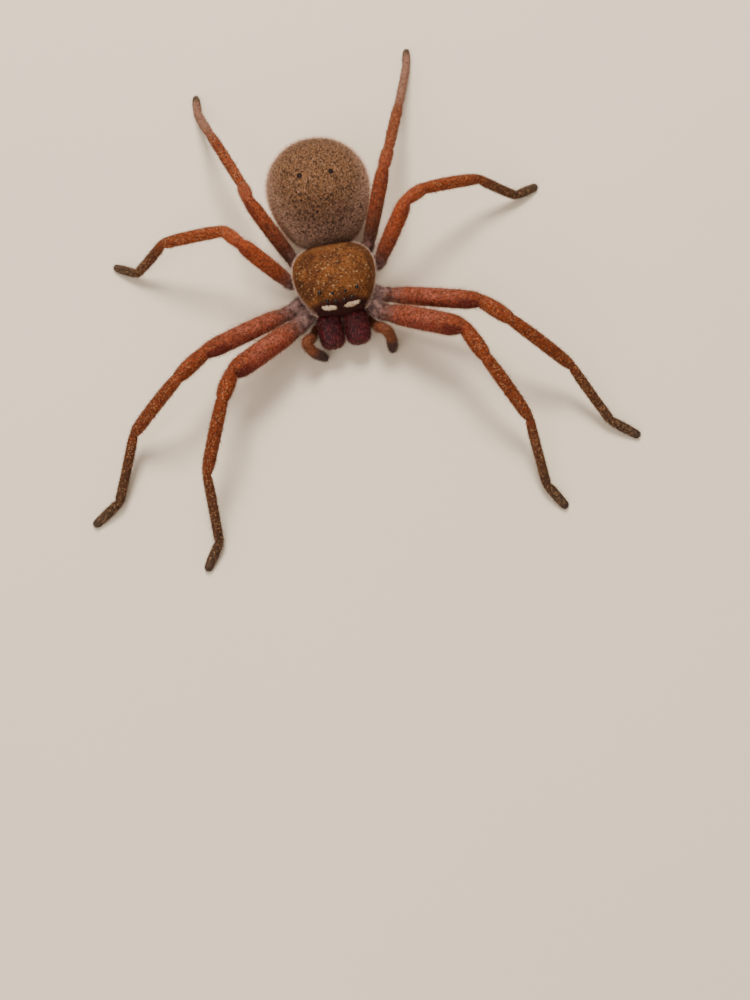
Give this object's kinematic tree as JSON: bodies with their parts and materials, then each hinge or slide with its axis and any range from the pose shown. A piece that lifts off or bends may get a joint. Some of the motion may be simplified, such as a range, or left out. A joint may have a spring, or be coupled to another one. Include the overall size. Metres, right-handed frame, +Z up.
{
  "type": "huntsman spider",
  "caption": "Life-size female huntsman spider standing still with its legs spread, with a domed head shield, stout dark jaws and a large egg-shaped abdomen.",
  "frame": {"origin": "middle of the base of the bounding box, on the ground under the spider", "axes": "+X toward the spider's left side, -Y the way it faces, +Z up from the ground"},
  "size_m": [0.0734, 0.0706, 0.0122],
  "materials": {
    "carapace": "matte",
    "abdomen": "matte",
    "sternum": "matte",
    "chelicerae": "satin",
    "fangs": "gloss",
    "palps": "matte",
    "eyes": "gloss",
    "spinnerets": "matte",
    "femur": "matte",
    "patella": "matte",
    "tibia": "matte",
    "metatarsus": "matte",
    "tarsus": "matte"
  },
  "bodies": {
    "root": {"leg_1_left_femur": "femur", "leg_1_left_patella": "patella", "leg_1_left_tibia": "tibia", "leg_1_left_metatarsus": "metatarsus", "leg_1_left_tarsus": "tarsus", "leg_1_right_femur": "femur", "leg_1_right_patella": "patella", "leg_1_right_tibia": "tibia", "leg_1_right_metatarsus": "metatarsus", "leg_1_right_tarsus": "tarsus", "leg_2_left_femur": "femur", "leg_2_left_patella": "patella", "leg_2_left_tibia": "tibia", "leg_2_left_metatarsus": "metatarsus", "leg_2_left_tarsus": "tarsus", "leg_2_right_femur": "femur", "leg_2_right_patella": "patella", "leg_2_right_tibia": "tibia", "leg_2_right_metatarsus": "metatarsus", "leg_2_right_tarsus": "tarsus", "leg_3_left_femur": "femur", "leg_3_left_patella": "patella", "leg_3_left_tibia": "tibia", "leg_3_left_metatarsus": "metatarsus", "leg_3_left_tarsus": "tarsus", "leg_3_right_femur": "femur", "leg_3_right_patella": "patella", "leg_3_right_tibia": "tibia", "leg_3_right_metatarsus": "metatarsus", "leg_3_right_tarsus": "tarsus", "leg_4_left_femur": "femur", "leg_4_left_patella": "patella", "leg_4_left_tibia": "tibia", "leg_4_left_metatarsus": "metatarsus", "leg_4_left_tarsus": "tarsus", "leg_4_right_femur": "femur", "leg_4_right_patella": "patella", "leg_4_right_tibia": "tibia", "leg_4_right_metatarsus": "metatarsus", "leg_4_right_tarsus": "tarsus", "carapace": "carapace", "sternum": "sternum", "abdomen": "abdomen", "spinnerets": "spinnerets", "chelicera_left": "chelicerae", "fang_left": "fangs", "palp_left": "palps", "eye_front_middle_left": "eyes", "eye_front_side_left": "eyes", "eye_rear_middle_left": "eyes", "eye_rear_side_left": "eyes", "chelicera_right": "chelicerae", "fang_right": "fangs", "palp_right": "palps", "eye_front_middle_right": "eyes", "eye_front_side_right": "eyes", "eye_rear_middle_right": "eyes", "eye_rear_side_right": "eyes"}
  },
  "joints": []
}
